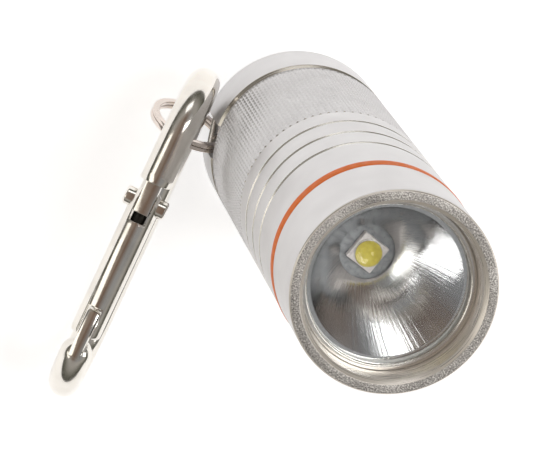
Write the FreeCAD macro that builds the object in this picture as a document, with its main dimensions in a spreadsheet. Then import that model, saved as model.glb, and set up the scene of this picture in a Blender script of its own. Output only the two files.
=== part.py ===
import FreeCAD, Part
import math
import os

import Sketcher

# Keychain flashlight standing on its flat tail. Millimetres, +Z up along the light's axis, lens upwards.
# The origin is the centre of the tail face. The snap hook hangs on a split ring on the -X side.

Vector = FreeCAD.Vector
Rotation = FreeCAD.Rotation
Placement = FreeCAD.Placement

SIZES = [
    # overall
    ("body_radius", 10.0),
    ("total_height", 56.0),
    # body tube, heights from the tail face
    ("tail_round", 0.9),
    ("edge_chamfer", 0.1),
    ("tail_groove_height", 8.2),
    ("tail_groove_width", 0.9),
    ("tail_groove_depth", 0.45),
    ("knurl_top", 27.0),
    ("knurl_groove_width", 0.5),
    ("ring_groove_first", 30.8),
    ("ring_groove_pitch", 4.1),
    ("ring_groove_width", 0.6),
    ("ring_groove_depth", 0.25),
    ("tube_top", 45.93),
    ("battery_bore_radius", 7.6),
    ("battery_floor", 9.2),
    ("thread_bore_radius", 8.8),
    ("thread_bore_floor", 37.9),
    ("seal_bore_radius", 8.95),
    ("seal_bore_floor", 43.6),
    # tail slot and its cross pin
    ("slot_azimuth", 193.4),
    ("slot_width", 3.6),
    ("slot_top", 8.25),
    ("slot_floor_radius", 6.6),
    ("pin_radius", 0.45),
    ("pin_from_axis", 9.48),
    ("pin_height", 4.1),
    # head
    ("head_bottom", 47.07),
    ("skirt_bottom", 38.3),
    ("skirt_radius", 8.72),
    ("skirt_bore_radius", 7.7),
    ("seal_groove_low", 44.2),
    ("seal_groove_high", 45.1),
    ("seal_groove_radius", 8.12),
    ("reflector_bore_floor", 47.4),
    ("reflector_bore_radius", 8.45),
    ("mouth_radius", 8.62),
    ("mouth_chamfer", 0.4),
    ("rim_chamfer", 0.15),
    # seals between the head and the tube
    ("orange_inner", 8.88),
    ("orange_outer", 10.06),
    ("orange_round", 0.25),
    ("orange_gap", 0.01),
    ("head_seal_radius", 8.51),
    ("head_seal_section", 0.37),
    # front stack
    ("retainer_top", 53.5),
    ("retainer_thick", 0.4),
    ("retainer_inner", 7.85),
    ("lens_thick", 0.6),
    ("lens_radius", 8.4),
    ("lens_seal_thick", 0.2),
    ("lens_seal_inner", 7.76),
    # reflector
    ("flange_thick", 0.8),
    ("flange_radius", 8.4),
    ("cup_radius", 7.35),
    ("cup_focal", 1.17),
    ("cup_hole_radius", 2.75),
    ("cup_wall", 0.7),
    # light source
    ("board_top", 42.0),
    ("board_thick", 1.2),
    ("board_radius", 6.9),
    ("package_side", 3.0),
    ("package_thick", 0.75),
    ("package_turn", 75.4),
    ("phosphor_radius", 1.1),
    ("phosphor_thick", 0.1),
    ("dome_radius", 1.4),
    ("spacer_radius", 5.2),
    ("spacer_inner", 2.95),
    ("spacer_thick", 0.35),
    # heat sink, driver and contacts
    ("sink_radius", 7.62),
    ("sink_bottom", 38.0),
    ("sink_pocket_radius", 5.6),
    ("sink_pocket_top", 39.6),
    ("driver_radius", 7.3),
    ("driver_thick", 0.9),
    ("resistor_length", 3.2),
    ("resistor_width", 1.6),
    ("resistor_height", 0.6),
    ("front_spring_radius", 2.2),
    ("front_spring_wire", 0.2),
    ("front_spring_turns", 1.5),
    ("front_contact_gap", 0.05),
    # batteries
    ("cell_radius", 5.8),
    ("cell_height", 5.4),
    ("cell_cap_radius", 5.1),
    ("cell_cap_height", 0.45),
    ("cell_count", 4.0),
    ("stack_bottom", 14.2),
    ("sleeve_radius", 7.5),
    ("sleeve_inner", 5.95),
    ("tail_spring_radius", 4.2),
    ("tail_spring_wire", 0.3),
    ("tail_spring_turns", 3.5),
    # split ring
    ("split_radius", 4.0),
    ("split_wide", 0.7),
    ("split_pitch", 0.52),
    ("split_thick", 0.47),
    ("split_turns", 1.92),
    ("split_x", -12.1),
    ("split_y", -2.28),
    ("split_z", 4.42),
    ("split_lean", 15.8),
    # snap hook
    ("rod_radius", 1.7),
    ("top_bend", 5.6),
    ("low_bend", 6.9),
    ("spine_length", 22.6),
    ("hook_x", -12.05),
    ("hook_y", -2.19),
    ("hook_z", 2.95),
    ("hook_lean", 15.5),
    ("hook_pitch", 3.0),
    ("pivot_along", 7.6),
    ("tongue_thick", 1.75),
    ("tongue_back", 2.4),
    ("tongue_half_height", 1.35),
    ("tongue_end", 1.15),
    ("rivet_radius", 0.6),
    ("rivet_running_gap", 0.05),
    ("rivet_head_radius", 1.0),
    ("rivet_head_thick", 0.95),
    ("gate_radius", 1.65),
    ("gate_length", 15.3),
    ("fork_slot_width", 1.9),
    ("fork_slot_end", 2.1),
    ("nose_slot_width", 1.7),
    ("nose_slot_start", 11.9),
    ("nose_thick", 1.35),
    ("nose_height", 2.5),
    ("nose_start", 12.4),
    ("nose_shoulder_angle", 15.0),
    ("gate_bore_radius", 0.85),
    ("gate_bore_end", 9.0),
    ("plunger_radius", 0.78),
    ("plunger_tip", 1.2),
    ("plunger_length", 2.8),
    ("gate_spring_radius", 0.62),
    ("gate_spring_wire", 0.11),
    ("gate_spring_gap", 0.6),
    ("gate_spring_turns", 7.0),
]

doc = FreeCAD.newDocument("keychain_flashlight")
sheet = doc.addObject("Spreadsheet::Sheet", "Sizes")
for row, (alias, value) in enumerate(SIZES, start=1):
    sheet.set("A%d" % row, alias)
    sheet.set("B%d" % row, str(value))
    sheet.setAlias("B%d" % row, alias)
doc.recompute()

nodes = []


def size(alias):
    """A driving dimension, as a number."""
    return float(sheet.get(alias))


def keep(item, label):
    """Names a finished sub-part, and lists it for writing."""
    item.Label = label
    nodes.append(item)
    return item


def origin_plane(body, role):
    for feature in body.Origin.OriginFeatures:
        if feature.Role == role:
            return feature


def closed_outline(body, name, plane, corners):
    """A sketch of one closed outline. Each corner is a pair of formulas in the sheet's words."""
    sketch = body.newObject("Sketcher::SketchObject", name)
    sketch.AttachmentSupport = [(origin_plane(body, plane), "")]
    sketch.MapMode = "FlatFace"
    places = []
    for across, up in corners:
        here = [float(sheet.evalExpression(formula)) for formula in (across, up)]
        places.append(Vector(here[0], here[1], 0))
    count = len(places)
    for i in range(count):
        sketch.addGeometry(Part.LineSegment(places[i], places[(i + 1) % count]), False)
    for i in range(count):
        sketch.addConstraint(Sketcher.Constraint("Coincident", i, 2, (i + 1) % count, 1))
    for i, formulas in enumerate(corners):
        for kind, formula, value in zip(("DistanceX", "DistanceY"), formulas, places[i]):
            index = sketch.addConstraint(Sketcher.Constraint(kind, -1, 1, i, 1, value))
            words = " ".join("Sizes." + w if w[0].isalpha() else w for w in formula.split())
            sketch.setExpression("Constraints[%d]" % index, words)
    return sketch


def turned(label, corners):
    """A piece turned on a lathe about Z, from its half outline (radius, height)."""
    body = doc.addObject("PartDesign::Body", label)
    sketch = closed_outline(body, label + "_outline", "XZ_Plane", corners)
    revolve = body.newObject("PartDesign::Revolution", label + "_turning")
    revolve.Profile = sketch
    revolve.ReferenceAxis = (sketch, ["V_Axis"])
    revolve.Angle = 360.0
    body.Tip = revolve
    doc.recompute()
    return body


def ring_seal(label, radius, section, height):
    """A round-section rubber ring, given by formulas."""
    seal = doc.addObject("Part::Torus", label)
    seal.setExpression("Radius1", "Sizes." + radius)
    seal.setExpression("Radius2", "Sizes." + section)
    seal.setExpression("Placement.Base.z", height)
    return keep(seal, label)


def plain_solid(label, shape, placement=Placement()):
    """A sub-part whose shape is worked out here from the sheet's sizes."""
    feature = doc.addObject("Part::Feature", label)
    feature.Shape = shape
    feature.Placement = placement
    return keep(feature, label)


def coil(radius, wire, turns, height):
    """A coil of twelve-sided wire standing on Z = 0, as one solid."""
    pitch = (height - 2 * wire) / turns
    path = Part.makeHelix(pitch, pitch * turns, radius)
    path.translate(Vector(0, 0, wire))
    corners = []
    for i in range(12):
        turn = 2 * math.pi * i / 12
        corners.append(Vector(radius + wire * math.cos(turn), 0, wire + wire * math.sin(turn)))
    section = Part.makePolygon(corners + corners[:1])
    return Part.Wire(path).makePipeShell([section], True, True)


# ---------------------------------------------------------------- body tube


def groove(middle, width, depth):
    """The corners of a V-bottomed turned groove in the outside, going up."""
    flat = "( body_radius )"
    floor = "( body_radius - %s )" % depth
    low = "( %s - 0.5 * %s )" % (middle, width)
    high = "( %s + 0.5 * %s )" % (middle, width)
    floor_low = "( %s - 0.15 * %s )" % (middle, width)
    floor_high = "( %s + 0.15 * %s )" % (middle, width)
    return [(flat, low), (floor, floor_low), (floor, floor_high), (flat, high)]


def make_body_tube():
    outline = [
        ("0", "0"),
        ("body_radius - 1.0 * tail_round", "0"),
        ("body_radius - 0.3 * tail_round", "0.3 * tail_round"),
        ("body_radius", "tail_round"),
    ]
    outline += groove("tail_groove_height", "tail_groove_width", "tail_groove_depth")
    outline += groove("knurl_top", "knurl_groove_width", "ring_groove_depth")
    for number in range(3):
        middle = "( ring_groove_first + %d * ring_groove_pitch )" % number
        outline += groove(middle, "ring_groove_width", "ring_groove_depth")
    outline += [
        ("body_radius", "tube_top - edge_chamfer"),
        ("body_radius - edge_chamfer", "tube_top"),
        ("seal_bore_radius", "tube_top"),
        ("seal_bore_radius", "seal_bore_floor"),
        ("thread_bore_radius", "seal_bore_floor - 0.15"),
        ("thread_bore_radius", "thread_bore_floor"),
        ("battery_bore_radius", "thread_bore_floor"),
        ("battery_bore_radius", "battery_floor"),
        ("0", "battery_floor"),
    ]
    return turned("body_tube_turning", outline)


def around_axis(azimuth):
    """A frame on the light's axis whose X points out at that azimuth."""
    return Placement(Vector(0, 0, 0), Rotation(Vector(0, 0, 1), azimuth))


# The slot is open at the tail face, so the light stands flat with the ring hooked on the pin.
tube_blank = make_body_tube()
slot = doc.addObject("Part::Box", "tail_slot")
slot.setExpression("Length", "Sizes.body_radius")
slot.setExpression("Width", "Sizes.slot_width")
slot.setExpression("Height", "Sizes.slot_top + 1")
out = Rotation(Vector(0, 0, 1), size("slot_azimuth"))
corner = Vector(size("slot_floor_radius"), -0.5 * size("slot_width"), -1)
slot.Placement = Placement(out.multVec(corner), out)

pin_seat = doc.addObject("Part::Cylinder", "pin_seat")
pin_seat.setExpression("Radius", "Sizes.pin_radius")
pin_seat.setExpression("Height", "2 * Sizes.body_radius")
pin_middle = out.multVec(Vector(size("pin_from_axis"), 0, size("pin_height")))
along_pin = out.multiply(Rotation(Vector(1, 0, 0), 90))
pin_end = out.multVec(Vector(size("pin_from_axis"), size("body_radius"), size("pin_height")))
pin_seat.Placement = Placement(pin_end, along_pin)

tube_with_slot = doc.addObject("Part::Cut", "tube_with_slot")
tube_with_slot.Base = tube_blank
tube_with_slot.Tool = slot
body_tube = doc.addObject("Part::Cut", "body_tube")
body_tube.Base = tube_with_slot
body_tube.Tool = pin_seat
keep(body_tube, "body_tube")

# The cross pin is ground flush with the outside of the tail.
pin_bar = doc.addObject("Part::Cylinder", "pin_bar")
pin_bar.setExpression("Radius", "Sizes.pin_radius")
pin_bar.setExpression("Height", "2 * Sizes.body_radius")
pin_bar.Placement = Placement(pin_end, along_pin)
pin_limit = doc.addObject("Part::Cylinder", "pin_limit")
pin_limit.setExpression("Radius", "Sizes.body_radius - 0.02")
pin_limit.setExpression("Height", "Sizes.tail_groove_height")
lanyard_pin = doc.addObject("Part::Common", "lanyard_pin")
lanyard_pin.Base = pin_bar
lanyard_pin.Tool = pin_limit
keep(lanyard_pin, "lanyard_pin")

# ---------------------------------------------------------------- head

head_shell = turned(
    "head_shell",
    [
        ("skirt_radius", "skirt_bottom"),
        ("skirt_radius", "seal_groove_low"),
        ("seal_groove_radius", "seal_groove_low"),
        ("seal_groove_radius", "seal_groove_high"),
        ("skirt_radius", "seal_groove_high"),
        ("skirt_radius", "head_bottom"),
        ("body_radius - edge_chamfer", "head_bottom"),
        ("body_radius", "head_bottom + edge_chamfer"),
        ("body_radius", "total_height - rim_chamfer"),
        ("body_radius - rim_chamfer", "total_height"),
        ("mouth_radius + mouth_chamfer", "total_height"),
        ("mouth_radius", "total_height - mouth_chamfer"),
        ("mouth_radius - 0.17", "retainer_top"),
        ("reflector_bore_radius", "reflector_bore_floor"),
        ("skirt_bore_radius", "reflector_bore_floor"),
        ("skirt_bore_radius", "skirt_bottom"),
    ],
)
keep(head_shell, "head_shell")

retaining_ring = turned(
    "retaining_ring",
    [
        ("retainer_inner", "retainer_top - retainer_thick"),
        ("lens_radius", "retainer_top - retainer_thick"),
        ("lens_radius", "retainer_top"),
        ("retainer_inner + 0.12", "retainer_top"),
        ("retainer_inner", "retainer_top - 0.12"),
    ],
)
keep(retaining_ring, "retaining_ring")

lens_glass = doc.addObject("Part::Cylinder", "lens")
lens_glass.setExpression("Radius", "Sizes.lens_radius")
lens_glass.setExpression("Height", "Sizes.lens_thick")
lens_base = "Sizes.retainer_top - Sizes.retainer_thick - Sizes.lens_thick"
lens_glass.setExpression("Placement.Base.z", lens_base)
keep(lens_glass, "lens")

lens_bottom = "( retainer_top - retainer_thick - lens_thick )"
lens_seal = turned(
    "lens_seal",
    [
        ("lens_seal_inner", lens_bottom + " - lens_seal_thick"),
        ("lens_radius", lens_bottom + " - lens_seal_thick"),
        ("lens_radius", lens_bottom),
        ("lens_seal_inner", lens_bottom),
    ],
)
keep(lens_seal, "lens_seal")


def make_reflector():
    """A paraboloid cup with a flange. Height above the cup's vertex is radius squared over four focal lengths."""
    rim_height = size("retainer_top") - size("retainer_thick") - size("lens_thick") - size("lens_seal_thick")
    four_focal = 4 * size("cup_focal")
    vertex = rim_height - size("cup_radius") ** 2 / four_focal
    bottom = vertex + size("cup_hole_radius") ** 2 / four_focal
    wall = size("cup_wall")
    steps = 12

    def curve(first, last, offset):
        places = []
        for i in range(steps + 1):
            radius = first + (last - first) * i / steps
            places.append(Vector(radius + offset, 0, vertex + radius * radius / four_focal))
        line = Part.BSplineCurve()
        line.interpolate(places)
        return line.toShape(), places

    inner, inner_places = curve(size("cup_hole_radius"), size("cup_radius"), 0)
    shell_top = size("cup_radius") - 0.5
    outer, outer_places = curve(shell_top, size("cup_hole_radius"), wall)
    flange_low = rim_height - size("flange_thick")
    corners = [
        inner_places[-1],
        Vector(size("flange_radius"), 0, rim_height),
        Vector(size("flange_radius"), 0, flange_low),
        Vector(outer_places[0].x, 0, flange_low),
        outer_places[0],
    ]
    edges = [inner]
    edges += [Part.makeLine(a, b) for a, b in zip(corners, corners[1:]) if (a - b).Length > 1e-6]
    edges += [outer, Part.makeLine(outer_places[-1], inner_places[0])]
    face = Part.Face(Part.Wire(Part.__sortEdges__(edges)))
    return face.revolve(Vector(0, 0, 0), Vector(0, 0, 1), 360), bottom


reflector_shape, cup_bottom = make_reflector()
plain_solid("reflector", reflector_shape)

led_spacer = turned(
    "led_spacer",
    [
        ("spacer_inner", "board_top"),
        ("spacer_radius", "board_top"),
        ("spacer_radius", "board_top + spacer_thick"),
        ("spacer_inner", "board_top + spacer_thick"),
    ],
)
keep(led_spacer, "led_spacer")

led_board = turned(
    "led_board",
    [
        ("0", "board_top - board_thick"),
        ("board_radius", "board_top - board_thick"),
        ("board_radius", "board_top"),
        ("0", "board_top"),
    ],
)
keep(led_board, "led_board")

led_turn = Rotation(Vector(0, 0, 1), size("package_turn"))
package = doc.addObject("Part::Box", "package_block")
for side in ("Length", "Width"):
    package.setExpression(side, "Sizes.package_side")
package.setExpression("Height", "Sizes.package_thick")
half = 0.5 * size("package_side")
package.Placement = Placement(led_turn.multVec(Vector(-half, -half, size("board_top"))), led_turn)
led_package = doc.addObject("Part::Chamfer", "led_package")
led_package.Base = package
doc.recompute()
upright = []
for number, edge in enumerate(package.Shape.Edges, start=1):
    if abs(edge.Vertexes[0].Z - edge.Vertexes[1].Z) > 0.5 * size("package_thick"):
        upright.append((number, 0.1, 0.1))
led_package.Edges = upright
keep(led_package, "led_package")

package_top = "Sizes.board_top + Sizes.package_thick"
led_phosphor = doc.addObject("Part::Cylinder", "led_phosphor")
led_phosphor.setExpression("Radius", "Sizes.phosphor_radius")
led_phosphor.setExpression("Height", "Sizes.phosphor_thick")
led_phosphor.setExpression("Placement.Base.z", package_top)
keep(led_phosphor, "led_phosphor")

# The clear dome is a flattened half ball that closes over the phosphor.
dome_ball = doc.addObject("Part::Sphere", "dome_ball")
dome_ball.setExpression("Radius", "Sizes.dome_radius")
dome_ball.Angle1 = 0
dome_ball.setExpression("Placement.Base.z", package_top)
led_dome = doc.addObject("Part::Cut", "led_dome")
led_dome.Base = dome_ball
led_dome.Tool = led_phosphor
keep(led_dome, "led_dome")

heat_sink = turned(
    "heat_sink",
    [
        ("0", "sink_pocket_top"),
        ("sink_pocket_radius", "sink_pocket_top"),
        ("sink_pocket_radius", "sink_bottom"),
        ("sink_radius", "sink_bottom"),
        ("sink_radius", "board_top - board_thick"),
        ("0", "board_top - board_thick"),
    ],
)
keep(heat_sink, "heat_sink")

driver_board = turned(
    "driver_board",
    [
        ("0", "sink_bottom - driver_thick"),
        ("driver_radius", "sink_bottom - driver_thick"),
        ("driver_radius", "sink_bottom"),
        ("0", "sink_bottom"),
    ],
)
keep(driver_board, "driver_board")

driver_resistor = doc.addObject("Part::Box", "driver_resistor")
driver_resistor.setExpression("Length", "Sizes.resistor_length")
driver_resistor.setExpression("Width", "Sizes.resistor_width")
driver_resistor.setExpression("Height", "Sizes.resistor_height")
driver_resistor.setExpression("Placement.Base.x", "-0.5 * Sizes.resistor_length")
driver_resistor.setExpression("Placement.Base.z", "Sizes.sink_bottom")
keep(driver_resistor, "driver_resistor")

# The orange seal is a rounded band that fills the gap between the tube and the head.
seal_low = "( tube_top + orange_gap )"
seal_high = "( head_bottom - orange_gap )"
orange_seal = turned(
    "orange_seal",
    [
        ("orange_inner", seal_low + " + orange_round"),
        ("orange_inner + orange_round", seal_low),
        ("orange_outer - orange_round", seal_low),
        ("orange_outer - 0.3 * orange_round", seal_low + " + 0.3 * orange_round"),
        ("orange_outer", seal_low + " + orange_round"),
        ("orange_outer", seal_high + " - orange_round"),
        ("orange_outer - 0.3 * orange_round", seal_high + " - 0.3 * orange_round"),
        ("orange_outer - orange_round", seal_high),
        ("orange_inner + orange_round", seal_high),
        ("orange_inner", seal_high + " - orange_round"),
    ],
)
keep(orange_seal, "orange_seal")

ring_seal(
    "thread_seal",
    "head_seal_radius",
    "head_seal_section",
    "0.5 * (Sizes.seal_groove_low + Sizes.seal_groove_high)",
)

# ---------------------------------------------------------------- batteries and contacts

stack_top = size("stack_bottom") + size("cell_count") * size("cell_height")
driver_bottom = size("sink_bottom") - size("driver_thick")
front_gap = driver_bottom - stack_top - size("front_contact_gap")
front_spring = coil(
    size("front_spring_radius"), size("front_spring_wire"), size("front_spring_turns"), front_gap
)
front_foot = Vector(0, 0, stack_top + size("front_contact_gap"))
plain_solid("front_contact_spring", front_spring, Placement(front_foot, Rotation()))

tail_gap = size("stack_bottom") - size("battery_floor")
tail_spring = coil(size("tail_spring_radius"), size("tail_spring_wire"), size("tail_spring_turns"), tail_gap)
plain_solid("tail_spring", tail_spring, Placement(Vector(0, 0, size("battery_floor")), Rotation()))

battery_sleeve = turned(
    "battery_sleeve",
    [
        ("sleeve_inner", "stack_bottom"),
        ("sleeve_radius", "stack_bottom"),
        ("sleeve_radius", "stack_bottom + cell_count * cell_height"),
        ("sleeve_inner", "stack_bottom + cell_count * cell_height"),
    ],
)
keep(battery_sleeve, "battery_sleeve")

for number in range(int(size("cell_count"))):
    foot = "stack_bottom + %d * cell_height" % number
    cell = turned(
        "button_cell_%d" % (number + 1),
        [
            ("0", foot),
            ("cell_cap_radius", foot),
            ("cell_cap_radius", foot + " + cell_cap_height"),
            ("cell_radius - 0.2", foot + " + cell_cap_height"),
            ("cell_radius", foot + " + cell_cap_height + 0.2"),
            ("cell_radius", foot + " + cell_height - 0.2"),
            ("cell_radius - 0.2", foot + " + cell_height"),
            ("0", foot + " + cell_height"),
        ],
    )
    keep(cell, "button_cell_%d" % (number + 1))

# ---------------------------------------------------------------- split ring


def make_split_ring():
    """Flat wire wound nearly twice round, one turn lying on the other."""
    turns = size("split_turns")
    pitch = size("split_pitch")
    radius = size("split_radius")
    rise = pitch * turns
    path = Part.makeHelix(pitch, rise, radius)
    path.translate(Vector(0, 0, -0.5 * rise))
    half_wide = 0.5 * size("split_wide")
    half_thick = 0.5 * size("split_thick")
    bevel = 0.3 * half_thick
    across = [
        (-half_wide, -half_thick + bevel),
        (-half_wide + bevel, -half_thick),
        (half_wide - bevel, -half_thick),
        (half_wide, -half_thick + bevel),
        (half_wide, half_thick - bevel),
        (half_wide - bevel, half_thick),
        (-half_wide + bevel, half_thick),
        (-half_wide, half_thick - bevel),
    ]
    corners = [Vector(radius + x, 0, z - 0.5 * rise) for x, z in across]
    section = Part.makePolygon(corners + corners[:1])
    return Part.Wire(path).makePipeShell([section], True, True)


split_place = Placement(
    Vector(size("split_x"), size("split_y"), size("split_z")),
    Rotation(Vector(1, 0, 0), -90 + size("split_lean")),
)
plain_solid("split_ring", make_split_ring(), split_place)

# ---------------------------------------------------------------- snap hook
# Its own plane holds X, from the ring end to the nose end, and Y, from the spine to the gate.

top_bend = size("top_bend")
low_bend = size("low_bend")
spine = size("spine_length")
rod = size("rod_radius")
# the gate side leans by twice the angle between the spine and the line through the two bends' centres
gate_slope = 2 * math.atan((low_bend - top_bend) / spine)
slope_degrees = math.degrees(gate_slope)
gate_line = Vector(math.cos(gate_slope), math.sin(gate_slope), 0)
gate_side = Vector(-math.sin(gate_slope), math.cos(gate_slope), 0)
gate_line_start = Vector(0, top_bend, 0) + gate_side * top_bend
pivot = gate_line_start + gate_line * size("pivot_along")

upright_turn = Rotation(Vector(0, -1, 0), Vector(0, 0, 1), Vector(-1, 0, 0), "XYZ")
hook_turn = Rotation(Vector(0, 1, 0), -size("hook_lean")).multiply(upright_turn)
hook_turn = hook_turn.multiply(Rotation(Vector(0, 0, 1), -size("hook_pitch")))
hook_place = Placement(Vector(size("hook_x"), size("hook_y"), size("hook_z")), hook_turn)
gate_place = hook_place.multiply(Placement(pivot, Rotation(Vector(0, 0, 1), slope_degrees)))


def on_low_bend(degrees_past_top):
    turn = math.radians(degrees_past_top)
    return Vector(spine + low_bend * math.sin(turn), low_bend * (1 + math.cos(turn)), 0)


def make_hook_body():
    """The bent rod, with a flat tongue under the pivot and a thin nose that the gate closes over."""
    shoulder = size("nose_shoulder_angle")
    rod_end = gate_line_start + gate_line * (size("pivot_along") - size("tongue_back"))
    top_of_bend = Vector(0, top_bend, 0)
    half_way = Vector(-math.cos(0.5 * gate_slope), math.sin(0.5 * gate_slope), 0)
    path = Part.Wire(
        [
            Part.Arc(on_low_bend(shoulder), on_low_bend(90), on_low_bend(180)).toShape(),
            Part.makeLine(Vector(spine, 0, 0), Vector(0, 0, 0)),
            Part.Arc(Vector(0, 0, 0), top_of_bend + half_way * top_bend, gate_line_start).toShape(),
            Part.makeLine(gate_line_start, rod_end),
        ]
    )
    first = on_low_bend(shoulder)
    turn = math.radians(shoulder)
    heading = Vector(math.cos(turn), -math.sin(turn), 0)
    section = Part.Wire(Part.makeCircle(rod, first, heading))
    shape = path.makePipeShell([section], True, False)
    shape = shape.fuse(Part.makeSphere(rod, first))

    def bar(low, high, height, thick):
        """A flat bar along the gate's line, between two distances from the pivot."""
        block = Part.makeBox(high - low, height, thick, Vector(low, -0.5 * height, -0.5 * thick))
        block.Placement = Placement(pivot, Rotation(Vector(0, 0, 1), slope_degrees)).multiply(block.Placement)
        return block

    # the square end of the tongue pushes the spring's plunger back as the gate opens
    tongue_height = 2 * size("tongue_half_height")
    tongue = bar(-size("tongue_back") - 0.6, size("tongue_end"), tongue_height, size("tongue_thick"))
    shape = shape.fuse(tongue)
    nose_end = (first - pivot).dot(gate_line)
    nose = bar(size("nose_start"), nose_end + 0.4, size("nose_height"), size("nose_thick"))
    nose_edges = [e for e in nose.Edges if abs(e.Length - size("nose_thick")) < 1e-6]
    near = [e for e in nose_edges if (e.CenterOfMass - pivot).dot(gate_line) < size("nose_start") + 0.1]
    nose = nose.makeFillet(0.45 * size("nose_height"), near)
    shape = shape.fuse(nose)
    hole_radius = size("rivet_radius") + size("rivet_running_gap")
    hole = Part.makeCylinder(hole_radius, 4 * rod, pivot - Vector(0, 0, 2 * rod), Vector(0, 0, 1))
    return shape.cut(hole).removeSplitter()


plain_solid("carabiner_body", make_hook_body(), hook_place)


def make_gate():
    """The round gate, forked at the pivot and at the nose, and bored for its spring."""
    radius = size("gate_radius")
    length = size("gate_length")
    shape = Part.makeCylinder(radius, length, Vector(0, 0, 0), Vector(1, 0, 0))
    shape = shape.fuse(Part.makeSphere(radius, Vector(0, 0, 0)))
    end_edges = [e for e in shape.Edges if abs(e.CenterOfMass.x - length) < 1e-6 and e.Length > radius]
    shape = shape.makeFillet(0.5, end_edges)

    def slit(low, high, width):
        return Part.makeBox(high - low, 4 * radius, width, Vector(low, -2 * radius, -0.5 * width))

    shape = shape.cut(slit(-2 * radius, size("fork_slot_end"), size("fork_slot_width")))
    shape = shape.cut(slit(size("nose_slot_start"), length + 1, size("nose_slot_width")))
    bore = Part.makeCylinder(size("gate_bore_radius"), size("gate_bore_end"), Vector(0, 0, 0), Vector(1, 0, 0))
    shape = shape.cut(bore)
    across = Vector(0, 0, -2 * radius)
    shape = shape.cut(Part.makeCylinder(size("rivet_radius"), 4 * radius, across, Vector(0, 0, 1)))
    return shape.removeSplitter()


plain_solid("carabiner_gate", make_gate(), gate_place)


def make_rivet():
    """A shank through both fork ears with a domed head on each side."""
    reach = size("gate_radius")
    head = size("rivet_head_radius")
    shank = Part.makeCylinder(size("rivet_radius"), 2 * reach, Vector(0, 0, -reach), Vector(0, 0, 1))
    shape = shank
    for side in (1, -1):
        inner_face = side * (reach - 0.25)
        cap = Part.makeCylinder(head, size("rivet_head_thick"), Vector(0, 0, 0), Vector(0, 0, 1))
        rim = [e for e in cap.Edges if abs(e.CenterOfMass.z - size("rivet_head_thick")) < 1e-6]
        cap = cap.makeFillet(0.4, [e for e in rim if e.Length > head])
        cap.Placement = Placement(Vector(0, 0, inner_face), Rotation(Vector(1, 0, 0), 0 if side > 0 else 180))
        ear = Part.makeCylinder(size("gate_radius"), 4 * head, Vector(-2 * head, 0, 0), Vector(1, 0, 0))
        shape = shape.fuse(cap.cut(ear))
    return shape.removeSplitter()


plain_solid("gate_rivet", make_rivet(), gate_place)


def make_plunger():
    """A flat-nosed pin that the spring holds against the tongue."""
    radius = size("plunger_radius")
    start = size("plunger_tip")
    length = size("plunger_length")
    shape = Part.makeCylinder(radius, length, Vector(start, 0, 0), Vector(1, 0, 0))
    tip = [e for e in shape.Edges if abs(e.CenterOfMass.x - start) < 1e-6 and e.Length > radius]
    return shape.makeFillet(0.15, tip), start + length


plunger_shape, plunger_back = make_plunger()
plain_solid("gate_plunger", plunger_shape, gate_place)

spring_start = plunger_back + size("gate_spring_gap")
spring_height = size("gate_bore_end") - spring_start
gate_spring = coil(
    size("gate_spring_radius"), size("gate_spring_wire"), size("gate_spring_turns"), spring_height
)
lie_down = Placement(Vector(spring_start, 0, 0), Rotation(Vector(0, 1, 0), 90))
plain_solid("gate_spring", gate_spring, gate_place.multiply(lie_down))

# ---------------------------------------------------------------- checks and files

doc.recompute()
for item in doc.Objects:
    if "Invalid" in item.State or "Error" in item.State:
        raise RuntimeError("failed feature: " + item.Label)
for item in nodes:
    shape = item.Shape
    if shape.isNull() or not shape.isValid() or len(shape.Solids) != 1 or shape.Volume <= 0:
        raise RuntimeError("bad shape: %s, %d solids" % (item.Label, len(shape.Solids)))

os.makedirs("parts", exist_ok=True)
for item in nodes:
    item.Shape.exportStep("parts/%s.step" % item.Label)
    box = item.Shape.BoundBox
    print(
        "%-22s volume %8.2f  x %7.2f %7.2f  y %7.2f %7.2f  z %6.2f %6.2f"
        % (item.Label, item.Shape.Volume, box.XMin, box.XMax, box.YMin, box.YMax, box.ZMin, box.ZMax)
    )
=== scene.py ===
import bmesh
import bpy
import math
from mathutils import Matrix, Vector


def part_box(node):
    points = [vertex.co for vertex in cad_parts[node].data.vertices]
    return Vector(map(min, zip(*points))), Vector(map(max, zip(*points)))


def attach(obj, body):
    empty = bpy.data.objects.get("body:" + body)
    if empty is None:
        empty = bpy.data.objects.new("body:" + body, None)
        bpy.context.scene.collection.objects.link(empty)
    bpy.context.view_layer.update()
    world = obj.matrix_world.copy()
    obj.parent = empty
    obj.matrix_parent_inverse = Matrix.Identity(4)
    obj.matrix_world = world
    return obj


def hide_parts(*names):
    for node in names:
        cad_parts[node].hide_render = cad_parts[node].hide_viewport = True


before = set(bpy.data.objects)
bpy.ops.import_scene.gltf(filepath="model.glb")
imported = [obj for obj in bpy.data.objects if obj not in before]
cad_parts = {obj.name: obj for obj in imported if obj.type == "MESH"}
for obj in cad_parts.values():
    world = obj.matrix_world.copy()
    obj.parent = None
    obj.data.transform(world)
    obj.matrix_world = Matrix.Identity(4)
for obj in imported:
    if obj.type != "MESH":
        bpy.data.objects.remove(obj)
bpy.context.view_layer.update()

MM = 0.001
TAU = 2 * math.pi

# ---------------------------------------------------------------- sizes, in millimetres


def node_low(node):
    return [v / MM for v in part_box(node)[0]]


def node_high(node):
    return [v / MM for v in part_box(node)[1]]


# heights and radii read off the parts in model.glb
BODY_R = node_high("head_shell")[0]
TOP = node_high("head_shell")[2]
TUBE_TOP = node_high("body_tube")[2]
SEAL_R = node_high("orange_seal")[0]
LENS_LOW = node_low("lens")[2]
LENS_TOP = node_high("lens")[2]
RETAINER_TOP = node_high("retaining_ring")[2]
CUP_TOP = node_high("reflector")[2]
BOARD_TOP = node_high("led_board")[2]
PACKAGE_TOP = node_high("led_package")[2]

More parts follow.
